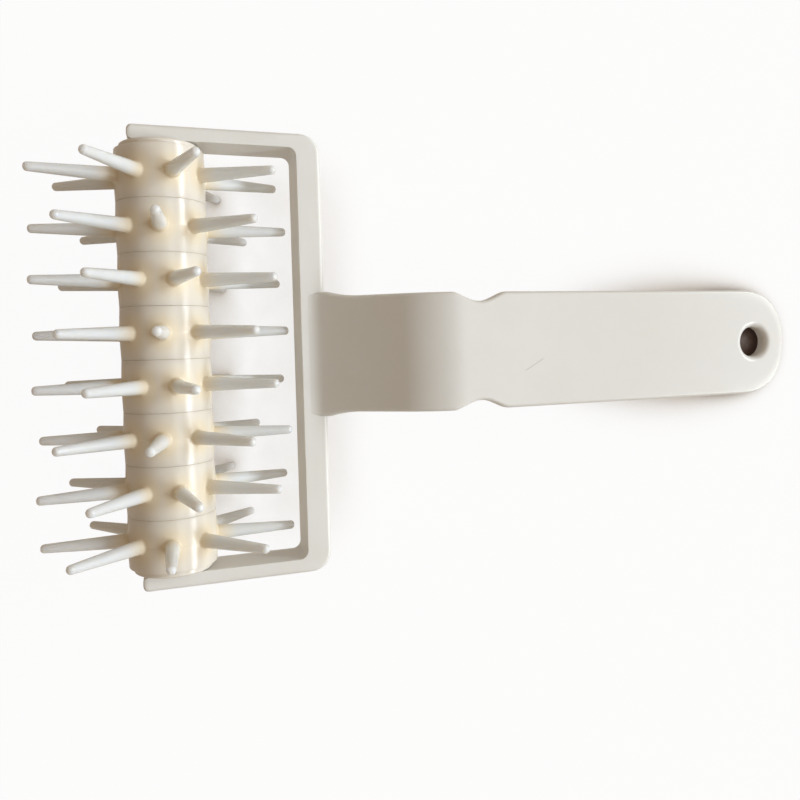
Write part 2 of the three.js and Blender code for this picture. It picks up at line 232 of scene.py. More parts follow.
class Shell:
    """Patches of points on grids, welded into one closed skin."""

    def __init__(self):
        self.points, self.quads, self.values, self.count = [], [], [], 0

    def add(self, points, closed=False, keep=None, root=0.0, reach=0.0):
        """Adds a patch of shape (rows, cols, 3). keep marks quads that stay; root and reach, for the
        material, are how near each point is to a spike's root, and how far out along the spike."""
        rows, cols = points.shape[:2]
        quads = grid_quads(rows, cols, closed)
        if keep is not None:
            quads = quads[keep]
        self.points.append(points.reshape(-1, 3))
        self.quads.append(quads.reshape(-1, 4) + self.count)
        self.values.append(np.stack([np.broadcast_to(v, (rows, cols)).reshape(-1) for v in (root, reach)]))
        self.count += rows * cols

    def welded(self):
        """Points, values and faces: coincident points joined, collapsed quads made triangles or dropped."""
        points = np.concatenate(self.points)
        keys = np.round(points / WELD).astype(np.int64)
        _, first, where = np.unique(keys, axis=0, return_index=True, return_inverse=True)
        quads = where.reshape(-1)[np.concatenate(self.quads)]
        same = quads == np.roll(quads, -1, axis=1)
        whole = quads[~same.any(1)]
        bent = quads[same.sum(1) == 1]
        drop = np.argmax(bent == np.roll(bent, -1, axis=1), axis=1)
        corners = (drop[:, None] + np.arange(1, 4)) % 4
        triangles = np.take_along_axis(bent, corners, axis=1)
        return points[first], np.concatenate(self.values, 1)[:, first], whole.tolist() + triangles.tolist()

    def build(self, name, body, nodes, slot, material, attributes=()):
        """Makes the mesh object, faces outwards, and rides it on a CAD body in place of CAD nodes."""
        points, values, faces = self.welded()
        mesh = bpy.data.meshes.new(name)
        mesh.from_pydata(points, [], faces)
        work = bmesh.new()
        work.from_mesh(mesh)
        bmesh.ops.recalc_face_normals(work, faces=work.faces)
        open_edges = sum(not e.is_manifold for e in work.edges)
        if open_edges:
            raise RuntimeError(f"{name} has {open_edges} open edges")
        if work.calc_volume(signed=True) < 0:
            bmesh.ops.reverse_faces(work, faces=work.faces)
        work.to_mesh(mesh)
        work.free()
        mesh.polygons.foreach_set("use_smooth", np.ones(len(mesh.polygons), bool))
        mesh.set_sharp_from_angle(angle=SMOOTH_UNDER)
        for label, numbers in zip(attributes, values):
            layer = mesh.attributes.new(label, "FLOAT", "POINT")
            layer.data.foreach_set("value", numbers.astype(np.float32))
        mesh.materials.append(material)
        piece = bpy.data.objects.new(name, mesh)
        bpy.context.scene.collection.objects.link(piece)
        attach(piece, body)
        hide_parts(*nodes)


def turned_about_axle(points, angle, y=0.0):
    """Points of the roller's own frame, turned by angle about its axis and put at y along it."""
    x, z = points[..., 0], points[..., 2]
    c, s = math.cos(angle), math.sin(angle)
    return np.stack([AXLE[0] + x * c + z * s, points[..., 1] + y, AXLE[2] - x * s + z * c], -1)


def in_yoke(points):
    """Points of the yoke's own frame, X along the arms and Z up, put where the leaning yoke lies."""
    return turned_about_axle(points, YOKE_LEAN)


def quarter(steps):
    """Sines and cosines of a quarter turn in equal steps."""
    a = np.linspace(0, math.pi / 2, steps + 1)
    return np.sin(a), np.cos(a)


def whole_turn(steps):
    """Angles of a whole turn in equal steps."""
    return np.linspace(0, 2 * math.pi, steps, endpoint=False)


def six_sided(angles, across_flats):
    """Radius of a six-sided outline at each angle, with a corner at angle 0."""
    half = math.pi / 6
    within = (angles + 2 * half) % (2 * half) - half
    return across_flats / 2 / np.cos(within)


def rounded(radius, along, edge, steps):
    """Radii and distances along the axis round a rounded edge, from the rim in to the end face."""
    return [(radius - edge * (1 - c), along - edge * (1 - s)) for s, c in zip(*quarter(steps))]


def revolved(profile, angles, end):
    """A profile's radii and distances along the axis, carried round it. A radius is one number, or one for
    each angle. end is 1 or -1, the way that the distances run."""
    sin, cos = np.sin(angles), np.cos(angles)
    return np.stack([np.stack([r * sin, end * h + 0 * sin, r * cos], -1) for r, h in profile])


# Plastic

PLASTIC_IOR = 1.49
SCATTER_TINT = (1.0, 0.90, 0.76)  # how far red, green and blue light spread
FLOW_TINT = (0.98, 0.972, 0.96)  # how much deeper the colour is along flow marks
GLOSS_LESS, GLOSS_MORE = 0.015, 0.02  # how far roughness falls and rises
MARK_ROUGHNESS = 0.08
GRAIN_STRENGTH = 0.03
GRAIN_DEPTH = 0.05 * MM
SPIKE_FROM, SPIKE_TO = 0.03, 0.30  # shares of a spike over which its tone takes over
MIX_FACTOR, MIX_BELOW, MIX_ABOVE, MIX_RESULT = 0, 6, 7, 2  # sockets of a colour Mix node


def feed(tree, node, inputs):
    """Sets a node's inputs, by name or number, to numbers and colours, or links sockets to them."""
    for label, value in dict(inputs).items():
        socket = node.inputs[label]
        if isinstance(value, bpy.types.NodeSocket):
            tree.links.new(value, socket)
        else:
            socket.default_value = (*value, 1) if socket.type == "RGBA" else value


def added(tree, kind, inputs=(), **settings):
    """Outputs of a new shader node with settings and inputs."""
    node = tree.nodes.new("ShaderNode" + kind)
    for name, setting in settings.items():
        setattr(node, name, setting)
    feed(tree, node, inputs)
    return node.outputs


def noise(tree, vector, scale, detail, roughness=0.5):
    inputs = {"Vector": vector, "Scale": scale, "Detail": detail, "Roughness": roughness}
    return added(tree, "TexNoise", inputs)["Fac"]


def arithmetic(tree, operation, *values):
    return added(tree, "Math", enumerate(values), operation=operation)["Value"]


def remap(tree, value, low, high, to_low=0.0, to_high=1.0):
    """A smooth step of a value, from to_low at low to to_high at high."""
    inputs = {"Value": value, "From Min": low, "From Max": high, "To Min": to_low, "To Max": to_high}
    return added(tree, "MapRange", inputs, interpolation_type="SMOOTHSTEP")["Result"]


def mixed(tree, factor, below, above):
    """A colour between two others, each a colour or a socket."""
    inputs = {MIX_FACTOR: factor, MIX_BELOW: below, MIX_ABOVE: above}
    return added(tree, "Mix", inputs, data_type="RGBA")[MIX_RESULT]


def new_group(name, outputs):
    """A shader node group: its tree, its vector input, and its node with named float outputs."""
    group = bpy.data.node_groups.new(name, "ShaderNodeTree")
    group.interface.new_socket("Vector", in_out="INPUT", socket_type="NodeSocketVector")
    for label in outputs:
        group.interface.new_socket(label, in_out="OUTPUT", socket_type="NodeSocketFloat")
    vector = group.nodes.new("NodeGroupInput").outputs["Vector"]
    return group, vector, group.nodes.new("NodeGroupOutput")


def moulded_skin_group():
    """Skin of moulded plastic: grain and ripple for bump, slow flow marks for colour, a spread of gloss."""
    group, vector, end = new_group("Moulded skin", ("Height", "Flow", "Gloss"))
    grain = noise(group, vector, scale=2600, detail=2)
    ripple = noise(group, vector, scale=260, detail=2)
    flow = noise(group, vector, scale=55, detail=3, roughness=0.55)
    haze = noise(group, vector, scale=420, detail=4, roughness=0.6)
    gloss = arithmetic(group, "MULTIPLY_ADD", haze, 0.5, flow)
    feed(group, end, {"Height": arithmetic(group, "MULTIPLY_ADD", ripple, 0.6, grain),
                      "Flow": remap(group, flow, 0.3, 0.7), "Gloss": remap(group, gloss, 0.45, 1.05)})
    return group


def handling_marks_group():
    """Rubbed marks: short fine scratches, a stretched noise kept only where a slow noise is high."""
    group, vector, end = new_group("Handling marks", ("Marks",))
    inputs = {"Vector": vector, "Rotation": (0, 0, 0.55), "Scale": (90, 1500, 600)}
    fine = noise(group, added(group, "Mapping", inputs)["Vector"], scale=1, detail=1)
    where = noise(group, vector, scale=70, detail=2)
    marks = arithmetic(group, "MULTIPLY", remap(group, fine, 0.66, 0.74), remap(group, where, 0.55, 0.68))
    feed(group, end, {"Marks": marks})
    return group


def scratch_mask(tree, vector, finish):
    """A soft line between the scratch's two ends: near its middle line, and fading to the ends."""
    start, end = Vector(finish.scratch_start), Vector(finish.scratch_end)
    half, width = (end - start).length / 2, finish.scratch_width
    inputs = {"Vector": vector, "Location": (start + end) / 2,
              "Rotation": (0, 0, math.atan2(end.y - start.y, end.x - start.x))}
    turned = added(tree, "Mapping", inputs, vector_type="TEXTURE")["Vector"]
    parts = added(tree, "SeparateXYZ", {"Vector": turned})
    along = remap(tree, arithmetic(tree, "ABSOLUTE", parts["X"]), half * 0.6, half, 1, 0)
    aside = remap(tree, arithmetic(tree, "ABSOLUTE", parts["Y"]), width * 0.3, width, 1, 0)
    return arithmetic(tree, "MULTIPLY", along, aside)


def plastic(name, base, finish, groups, roughness, scatter, depth, spiked=False, gripped=False):
    """Glossy moulded plastic with a grained skin, its colour varied by flow, and light scattered under it.
    On a spiked piece the spikes are paler and scatter more light, and their roots are tinted. A gripped
    piece has rubbed marks and one scratch."""
    material = bpy.data.materials.new(name)
    material.use_nodes = True
    tree = material.node_tree
    vector = added(tree, "TexCoord")["Object"]
    skin = added(tree, "Group", {"Vector": vector}, node_tree=groups["skin"])
    tone = mixed(tree, skin["Flow"], base, [c * k for c, k in zip(base, FLOW_TINT)])
    rough = remap(tree, skin["Gloss"], 0, 1, roughness - GLOSS_LESS, roughness + GLOSS_MORE)
    if spiked:
        reach, root = (added(tree, "Attribute", attribute_name=label)["Fac"] for label in ("reach", "root"))
        tone = mixed(tree, remap(tree, reach, SPIKE_FROM, SPIKE_TO), tone, finish.spike)
        # Painted warm shade and glow round the spikes' roots and in the seams between rings
        tone = mixed(tree, arithmetic(tree, "MULTIPLY", root, finish.root_shade_share), tone, finish.root)
        scatter = remap(tree, reach, SPIKE_FROM, SPIKE_TO, scatter, finish.spike_translucency)
    if gripped:
        marks = added(tree, "Group", {"Vector": vector}, node_tree=groups["marks"])["Marks"]
        tone = mixed(tree, arithmetic(tree, "MULTIPLY", marks, finish.marks_share), tone, finish.scuff)
        rough = arithmetic(tree, "MULTIPLY_ADD", marks, MARK_ROUGHNESS, rough)
        scratch = arithmetic(tree, "MULTIPLY", scratch_mask(tree, vector, finish), finish.scratch_share)
        tone = mixed(tree, scratch, tone, finish.scuff)
    bump = {"Strength": GRAIN_STRENGTH, "Distance": GRAIN_DEPTH, "Height": skin["Height"]}
    feed(tree, tree.nodes["Principled BSDF"], {
        "Base Color": tone, "Roughness": rough, "IOR": PLASTIC_IOR, "Subsurface Weight": scatter,
        "Subsurface Radius": SCATTER_TINT, "Subsurface Scale": depth,
        "Normal": added(tree, "Bump", bump)["Normal"]})


def plastics(scene):
    """The plastics by name, made on first use."""
    if "Cream plastic" not in bpy.data.materials:
        look = scene.docker_finish
        groups = {"skin": moulded_skin_group(), "marks": handling_marks_group()}
        cream = (look.cream, look, groups, look.roughness, look.translucency, look.depth)
        ivory = (look.ivory, look, groups, look.ring_roughness, look.ring_translucency, look.ring_depth)
        plastic("Cream plastic", *cream)
        plastic("Cream grip plastic", *cream, gripped=True)
        plastic("Ivory plastic", *ivory)
        plastic("Ivory ring plastic", *ivory, spiked=True)
    return bpy.data.materials


# Roller

CELL_SIDE = np.array([0, 0.1, 0.25, 0.6, 1.2, 1.9, 2.7, 3.6, 4.5, 5.4, 6.1]) * MM  # from the parting ridge
CELL_STEPS = 12  # across the end of a spike's cell
WALL_STEPS = 10  # down a spike's tapered wall
TIP_SHARES = np.array([0, 0.35, 0.7])[:, None]  # rows of a tip's dome
SKIN_SHARES = np.array([0.12, 0.3, 0.5, 0.75, 1.0])[:, None]  # rows from a spike's foot to its border
TIP_BAND = 0.1 * MM  # CAD points this near the farthest are on tips
COLLAR_STEPS = 96
CORE_STEPS = 72
CORE_CORNER = 1.12  # reach of the core's eased corners, next to its flats


def parting_ridge(y, sizes):
    """Height of the parting ridge at y, a bell curve."""
    return sizes.flash * np.exp(-((y / sizes.flash_width) ** 2))


def ring_radius_at(y, sizes):
    """Radius of a ring's skin at y: largest at the parting line, drafted to both ends, with the ridge."""
    return sizes.ring_radius - sizes.ring_draft * np.abs(y) / RING_HALF + parting_ridge(y, sizes)


def spike_grid(sizes, cos, sin):
    """One spike along Z, in rows round its middle line in the directions cos and sin: domed tip, rounded
    rim, tapered wall, and the root fillet, a quarter circle down to the ring's skin. With the rows, how
    near each point is to the root, and how far the fillet's foot is from the middle line."""

    def skin_height(rho):
        return np.sqrt(ring_radius_at(rho * sin, sizes) ** 2 - (rho * cos) ** 2)

    def wall_radius(height):
        low = sizes.ring_radius + sizes.fillet
        done = (height - low) / (sizes.spike_reach - sizes.tip_round - low)
        return sizes.spike_root + (sizes.spike_tip - sizes.spike_root) * done

    def rows(rho, height, ridge=1.0):
        """Rows at distances rho from the middle line, with a share of the parting ridge."""
        rho = rho + ridge * parting_ridge(rho * sin, sizes)
        return np.stack([rho * cos, rho * sin, height + 0 * rho], -1)

    flat = sizes.spike_tip - sizes.tip_round
    tip = rows(flat * TIP_SHARES, sizes.spike_reach - sizes.tip_dome * TIP_SHARES ** 2, ridge=0.0)
    crest = sizes.spike_reach - sizes.tip_dome
    s, c = (turn[:, None] for turn in quarter(5))
    rim = rows(flat + sizes.tip_round * s, crest - sizes.tip_round * (1 - c), ridge=s)
    high = crest - sizes.tip_round
    low = skin_height(sizes.spike_root) + sizes.fillet
    height = high + (low - high) * np.linspace(0, 1, WALL_STEPS + 1)[1:, None]
    wall = rows(wall_radius(height), height)
    foot = wall_radius(low) + sizes.fillet
    s, c = (turn[1:, None] for turn in quarter(6))
    rho = foot - sizes.fillet * c
    fillet = rows(rho, skin_height(rho) + sizes.fillet * (1 - s))
    # Painted warm shade of the root, fading up the spike's wall, and full on the fillet
    fade = np.exp(-(height - low) / sizes.root_shade_fade)
    root_shade_weight = np.concatenate([0 * tip[..., 0], 0 * rim[..., 0], fade, 1 + 0 * fillet[..., 0]])
    return np.concatenate([tip, rim, wall, fillet]), root_shade_weight, foot


def ring_shell(sizes, turn, y):
    """One ring. Each spike stands in a cell of the ring's skin, an equal share of the turn. A cell is a
    grid of rows from the spike's tip to the cell's border and columns round the spike; past the spike's
    foot the rows lie on the skin, at fixed shares of the way to the border."""
    half_cell = math.pi / sizes.spikes
    rim = sizes.ring_half - sizes.ring_edge
    side = np.concatenate([[-rim], -CELL_SIDE[:0:-1], CELL_SIDE, [rim]])
    across = np.linspace(half_cell, -half_cell, CELL_STEPS + 1)
    at_side, at_end = np.ones(len(side) - 1), np.ones(CELL_STEPS)
    border_angle = np.concatenate([half_cell * at_side, across[:-1], -half_cell * at_side, -across[:-1]])
    border_y = np.concatenate([side[:-1], rim * at_end, side[:0:-1], -rim * at_end])
    round_spike = np.arctan2(border_y, border_angle * sizes.ring_radius)
    cos, sin = np.cos(round_spike), np.sin(round_spike)
    spike, root_shade_weight, foot = spike_grid(sizes, cos, sin)
    foot_y = foot * sin
    foot_angle = np.arcsin(foot * cos / ring_radius_at(foot_y, sizes))
    angle = foot_angle + (border_angle - foot_angle) * SKIN_SHARES
    along = foot_y + (border_y - foot_y) * SKIN_SHARES
    radius = ring_radius_at(along, sizes)
    skin = np.stack([radius * np.sin(angle), along, radius * np.cos(angle)], -1)
    gone = np.hypot((angle - foot_angle) * sizes.ring_radius, along - foot_y)
    cell = np.concatenate([spike, skin])
    # Painted warm shade round the spike's foot, fading over the ring's skin
    root = np.concatenate([root_shade_weight, np.exp(-((gone / sizes.root_shade_spread) ** 2))])
    out = np.hypot(cell[..., 0], cell[..., 2])
    reach = ((out - sizes.ring_radius) / (sizes.spike_reach - sizes.ring_radius)).clip(0, 1)
    shell = Shell()
    for i in range(sizes.spikes):
        shell.add(turned_about_axle(cell, turn + 2 * half_cell * i, y), closed=True, root=root, reach=reach)
    ring_ends(shell, sizes, turn, y, across)
    return shell


def ring_ends(shell, sizes, turn, y, across):
    """Ends of a ring: the rounded edge, the flat end face in to the six-sided bore, and the bore's wall."""
    angles = (whole_turn(sizes.spikes)[:, None] + across[:0:-1]).reshape(-1)
    half, edge = sizes.ring_half, sizes.ring_edge
    radius = ring_radius_at(half - edge, sizes)
    bore = six_sided(angles, sizes.across_flats + 2 * sizes.fit)
    profile = [*rounded(radius, half, edge, 5), (radius - edge - HOLD, half), (bore, half)]
    ends = [turned_about_axle(revolved(profile, angles, end), turn, y) for end in (1, -1)]
    for patch in (*ends, np.stack([end[-1] for end in ends])):
        # Every point of the ends takes the full painted warm shade, which darkens the seams between rings
        shell.add(patch, closed=True, root=1.0)


def ring_turn(node, index, sizes):
    """A ring's turn, read from its CAD spikes: rings alternate by one flat of the core, and lean a bit."""
    vertices = frame["nodes"][node].data.vertices
    co = np.zeros(len(vertices) * 3, np.float32)
    vertices.foreach_get("co", co)
    away = co.reshape(-1, 3).astype(float) - AXLE
    reach = np.hypot(away[:, 0], away[:, 2])
    tips = reach > reach.max() - TIP_BAND
    angles = np.arctan2(away[tips, 0], away[tips, 2])
    pitch = 2 * math.pi / sizes.spikes
    phase = np.angle(np.exp(1j * sizes.spikes * angles).mean()) / sizes.spikes
    usual = CORE_TURN - FLAT_TURN * (index % 2)
    return usual + (phase - usual + pitch / 2) % pitch - pitch / 2


class DOCKER_OT_rings(bpy.types.Operator):
    """Spiked rings of the roller"""
    bl_idname = "docker.rings"
    bl_label = "Spiked rings"

    def execute(self, context):
        sizes = context.scene.docker_roller
        material = plastics(context.scene)["Ivory ring plastic"]
        for index, node in enumerate(RING_NODES):
            low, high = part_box(node)
            shell = ring_shell(sizes, ring_turn(node, index, sizes), (low.y + high.y) / 2)
            shell.build(f"ring_skin_{index + 1}", "roller", [node], "ring", material, ("root", "reach"))
        return {"FINISHED"}


class DOCKER_OT_collars(bpy.types.Operator):
    """End collars: a profile carried round the roller's axis, from the six-sided bore to a rounded rim"""
    bl_idname = "docker.collars"
    bl_label = "End collars"

    def execute(self, context):
        sizes = context.scene.docker_roller
        material = plastics(context.scene)["Ivory plastic"]
        angles = whole_turn(COLLAR_STEPS)
        bore = six_sided(angles, sizes.across_flats + 2 * sizes.fit)
        inner, outer = COLLAR_INNER - NEARLY, COLLAR_OUTER
        rim, back, edge = sizes.collar_radius, sizes.collar_back, sizes.collar_edge
        profile = [(bore, inner), (rim - back - HOLD, inner)]
        profile += [(rim - back * (1 - s), inner + back * (1 - c)) for s, c in zip(*quarter(3))]
        profile += rounded(rim, outer, edge, 6)
        profile += [(rim - edge - HOLD, outer), (bore, outer), (bore, inner)]
        for index, node in enumerate(COLLAR_NODES):
            end = 1 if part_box(node)[0].y > 0 else -1
            shell = Shell()
            shell.add(turned_about_axle(revolved(profile, angles, end), CORE_TURN), closed=True)
            shell.build(f"collar_skin_{index + 1}", "roller", [node], "collar", material)
        return {"FINISHED"}


class DOCKER_OT_core(bpy.types.Operator):
    """Core shaft: an outline carried along the roller's axis, six-sided with eased corners between the
    collars' outer faces, round with eased ends in the arms"""
    bl_idname = "docker.core"
    bl_label = "Core shaft"

    def execute(self, context):
        sizes = context.scene.docker_roller
        angles = whole_turn(CORE_STEPS)
        flats, journal, edge = sizes.across_flats, sizes.journal, sizes.journal_edge
        sided = np.minimum(six_sided(angles, flats), flats / 2 * CORE_CORNER)
        profile = [(sided, 0), (sided, COLLAR_OUTER)]
        profile += [(journal + HOLD, COLLAR_OUTER), (journal, COLLAR_OUTER)]
        profile += rounded(journal, sizes.journal_end, edge, 4)
        profile += [(journal - edge - HOLD, sizes.journal_end), (0, sizes.journal_end)]
        shell = Shell()
        for end in (1, -1):
            shell.add(turned_about_axle(revolved(profile, angles, end), CORE_TURN), closed=True)
        shell.build("core_skin", "roller", ["core_shaft"], "core", plastics(context.scene)["Ivory plastic"])
        return {"FINISHED"}


# Yoke

BORE_SQUARE = 1.4  # half-side of the square opened round a bore, in bore radii
SQUARE_STEPS = 12  # along its sides
ARM_FROM = 1.5  # where the arm's next stops start, in half-sides
ARM_TO = 30 * MM  # and where they end
BAR_SHARES = np.array([0.92, 0.6, 0.3, 0.0])  # stops along half the bar
WALL_HOLD = 0.02 * MM  # strip of an outer wall beside its full rounding
LEAST_FLAT = 0.05 * MM  # half of what is left flat where two roundings nearly meet
UNDER = (1, -1)  # turns a section's offsets and heights upside down


def yoke_plan(sizes):
    """Matching points on the U's inner and outer outlines, seen from above, from one arm's end to the
    other's: the rounded end, the arm, the corner's arc and the bar. With them, how far the rounded end has
    drawn each pair in, from 0 to 1, and the index of the pair where the bore's square starts."""
    s, c = quarter(7)
    drawn = 1 - s
    square = BORE_SQUARE * sizes.bore
    end_x = -sizes.tail + sizes.end_round * (1 - s[::-1])
    arm_x = np.concatenate([[-sizes.tail + sizes.end_round + HOLD],
                            np.linspace(-square, square, SQUARE_STEPS + 1),
                            np.linspace(ARM_FROM * square, ARM_TO, 5)])

    def outline(face, bar, corner, inwards):
        """One outline, from its arm's face, its bar's face, its corner's radius and its end's way in."""
        x = np.concatenate([end_x, arm_x, bar - corner * (1 - s), bar + 0 * BAR_SHARES])
        y = np.concatenate([face + inwards * sizes.end_round * drawn, face + 0 * arm_x,
                            face - corner * (1 - c), (face - corner) * BAR_SHARES])
        half = np.stack([x, y], -1)
        return np.concatenate([half, (half * (1, -1))[-2::-1]])

    inner = outline(ARM_OUTER - sizes.arm, sizes.bar_inner, sizes.inner_corner, 1)
    outer = outline(ARM_OUTER, sizes.bar_inner + sizes.bar_width, sizes.outer_corner, -1)
    inset = np.concatenate([drawn, np.zeros(len(inner) - 2 * len(drawn)), drawn[::-1]])
    return inner, outer, inset, len(end_x) + 1


def yoke_shell(sizes):
    """The yoke: a section carried round the U, ruled between its inner and outer outlines. The section is a
    rectangle with small rounded inner edges and fuller outer edges. Square patches of both arms' walls are
    opened and closed again round the journals' bores."""
    inner, outer, inset, first = yoke_plan(sizes)
    span = outer - inner
    width = np.hypot(span[:, 0], span[:, 1])[:, None]
    top = sizes.depth / 2
    square = BORE_SQUARE * sizes.bore
    stops = np.linspace(-square, square, SQUARE_STEPS + 1)

    def wall(edge, hold):
        """Offsets from the outline and heights up a wall, with stops for the bore's square."""
        z = np.concatenate([[-(top - edge - hold)], stops, [top - edge - hold]])
        return np.stack([0 * z, z], -1)

    def edge_to_top(edge):
        """Offsets and heights from a wall's top round its upper edge and onto the top face."""
        s, c = quarter(5)
        bend = np.stack([edge * (1 - c), top - edge * (1 - s)], -1)
        return np.concatenate([bend, [[edge + FINE_HOLD, top]]])

    near, far = edge_to_top(sizes.inner_edge), edge_to_top(sizes.outer_edge)
    inner_part = np.concatenate([wall(sizes.inner_edge, FINE_HOLD), near])
    outer_part = np.concatenate([far[::-1], wall(sizes.outer_edge, WALL_HOLD)[::-1], far * UNDER])
    offset, height = np.concatenate([inner_part, outer_part, near[::-1] * UNDER]).T
    column = np.arange(len(offset))
    from_outer = (column >= len(inner_part)) & (column < len(inner_part) + len(outer_part))
    offset = np.minimum(offset, np.maximum(width / 2 - LEAST_FLAT, 0))
    across = np.where(from_outer, width - offset, offset)
    plan = inner[:, None, :] + (span / width)[:, None, :] * across[..., None]
    z = height * (1 - inset[:, None] * sizes.end_drop / top)
    grid = np.concatenate([plan, z[..., None]], -1)

    shell = Shell()
    keep = np.ones((len(grid) - 1, len(column)), bool)
    wall_in, wall_out = 1, len(inner_part) + len(far) + 1
    for start in (first, len(grid) - 1 - first - SQUARE_STEPS):
        stop = start + SQUARE_STEPS
        keep[start:stop, wall_in:wall_in + SQUARE_STEPS] = False
        keep[start:stop, wall_out:wall_out + SQUARE_STEPS] = False
        inside = grid[start:stop + 1, wall_in:wall_in + SQUARE_STEPS + 1]
        outside = grid[start:stop + 1, wall_out:wall_out + SQUARE_STEPS + 1]
        bore_patch(shell, sizes, inside, outside[:, ::-1])
    shell.add(in_yoke(grid), closed=True, keep=keep)
    for loop in (grid[0], grid[-1]):
        middle = np.broadcast_to(loop.mean(0), loop.shape)
        shell.add(in_yoke(np.stack([loop, loop * 0.5 + middle * 0.5, middle])), closed=True)
    return shell


def bore_patch(shell, sizes, inside, outside):
    """Closes an arm's open squares: from each in to the bore's chamfered mouth, and through the arm."""

    def border(square):
        return np.concatenate([square[0, :-1], square[:-1, -1], square[-1, :0:-1], square[:0:-1, 0]])

    def circle(radius, y):
        return np.stack([radius * np.cos(angle), y + 0 * angle, radius * np.sin(angle)], -1)

    inner, outer = border(inside), border(outside)
    angle = np.arctan2(inner[:, 2], inner[:, 0])
    y_in, y_out = inner[0, 1], outer[0, 1]
    mouth = sizes.bore + sizes.bore_edge
    ease = math.copysign(sizes.bore_edge, y_out - y_in)
    rows = [inner, circle(mouth + FINE_HOLD, y_in), circle(mouth, y_in), circle(sizes.bore, y_in + ease),
            circle(sizes.bore, y_out - ease), circle(mouth, y_out), circle(mouth + FINE_HOLD, y_out), outer]
    shell.add(in_yoke(np.stack(rows)), closed=True)


class DOCKER_OT_yoke(bpy.types.Operator):
    """U-shaped yoke that carries the roller"""
    bl_idname = "docker.yoke"
    bl_label = "Yoke"

    def execute(self, context):
        material = plastics(context.scene)["Cream plastic"]
        shell = yoke_shell(context.scene.docker_yoke)
        shell.build("yoke_skin", "frame", ["yoke_handle"], "moulding", material)
        return {"FINISHED"}


# Handle

NECK_STEPS = 72  # from the bar to the waist's end
GRIP_STEPS = 8  # from there to the rounded end
END_STEPS = 72  # round the handle's end
END_SAMPLES = 1500  # points on half its outline, which those steps are measured along
END_START = 10 * MM  # from its join with the strip to the hole's middle
LANES = np.concatenate([[1], np.linspace(0.97, -0.97, 17), [-1]])  # across the flat faces
FACE_SHARES = np.array([0, 0.3, 0.65, 0.97, 1])[:, None, None]  # from a face's border to the hole


def neck_profile(x, sizes, yoke):
    """Rise and slope of the handle's top face at x: foot arc, straight slope, crown arc, then level."""
    a = sizes.neck_angle
    foot = yoke.bar_inner + sizes.neck_setback
    foot_end = foot + sizes.foot_radius * math.sin(a)
    foot_rise = sizes.foot_radius * (1 - math.cos(a))
    crown_rise = sizes.crown_radius * (1 - math.cos(a))
    crown = foot_end + (sizes.rise - foot_rise - crown_rise) / math.tan(a)
    crown_end = crown + sizes.crown_radius * math.sin(a)
    slope = np.select(
        [x < foot_end, x < crown, x < crown_end],
        [np.arcsin(np.clip((x - foot) / sizes.foot_radius, -1, 1)), a,
         np.arcsin(np.clip((crown_end - x) / sizes.crown_radius, -1, 1))], 0.0)
    rise = np.select(
        [x < foot_end, x < crown],
        [sizes.foot_radius * (1 - np.cos(slope)), foot_rise + (x - foot_end) * math.tan(a)],
        sizes.rise - sizes.crown_radius * (1 - np.cos(slope)))
    return rise, slope


def half_width(x, sizes, yoke):
    """Half-width of the strip at x: flared at the bar, drawn in by a cosine notch at the waist."""
    bar_outer = yoke.bar_inner + yoke.bar_width
    to_bar = np.clip((bar_outer + sizes.flare_length - x) / sizes.flare_length, 0, 1)
    to_waist = np.minimum(1, np.abs(x - sizes.waist_reach) / (sizes.waist_length / 2))
    notch = sizes.waist_depth * np.cos(to_waist * math.pi / 2).clip(0) ** sizes.waist_sharpness
    return sizes.width / 2 + sizes.flare * to_bar ** 2 - notch


def edge_profile(sizes):
    """Inset from the side and depth under the top face, round the strip's edge from top to under face."""
    s, c = quarter(6)
    upper = np.stack([sizes.edge * (1 - s), sizes.edge * (1 - c)], -1)
    lower = np.stack([sizes.edge * (1 - c), sizes.thickness - sizes.edge * (1 - s)], -1)
    return np.concatenate([upper, lower])


def handle_shell(sizes, yoke):
    """The handle: a flat section with rounded edges carried along the neck's profile, square to its slope,
    its half-width following the flare and the waist. The rounded end is ruled between its outline and the
    hanging hole, whose upper rim has a rounded lip."""
    shell = Shell()
    foot = yoke.bar_inner + sizes.neck_setback
    waist_end = sizes.waist_reach + sizes.waist_length / 2
    join = sizes.reach - sizes.hole_to_end - END_START
    stations = np.concatenate([np.linspace(foot, waist_end, NECK_STEPS + 1),
                               np.linspace(waist_end, join, GRIP_STEPS + 1)[1:]])
    rise, slope = (part[:, None] for part in neck_profile(stations, sizes, yoke))
    half = half_width(stations, sizes, yoke)[:, None]
    edge = edge_profile(sizes)
    inset, down = edge[1:-1].T
    face, side = (half - sizes.edge) * LANES, inset - half
    y = np.concatenate([face, side, face[:, ::-1], -side[:, ::-1]], 1)
    depth = np.concatenate([0 * LANES, down, sizes.thickness + 0 * LANES, down[::-1]])
    x = stations[:, None] + np.sin(slope) * depth
    z = yoke.depth / 2 + rise - np.cos(slope) * depth
    grid = np.stack([x, y, z], -1)
    shell.add(in_yoke(grid), closed=True)
    start = grid[0]
    shell.add(in_yoke(np.stack([start, np.broadcast_to(start.mean(0), start.shape)])), closed=True)
    handle_end(shell, sizes, join, yoke.depth / 2 + sizes.rise, edge)
    return shell


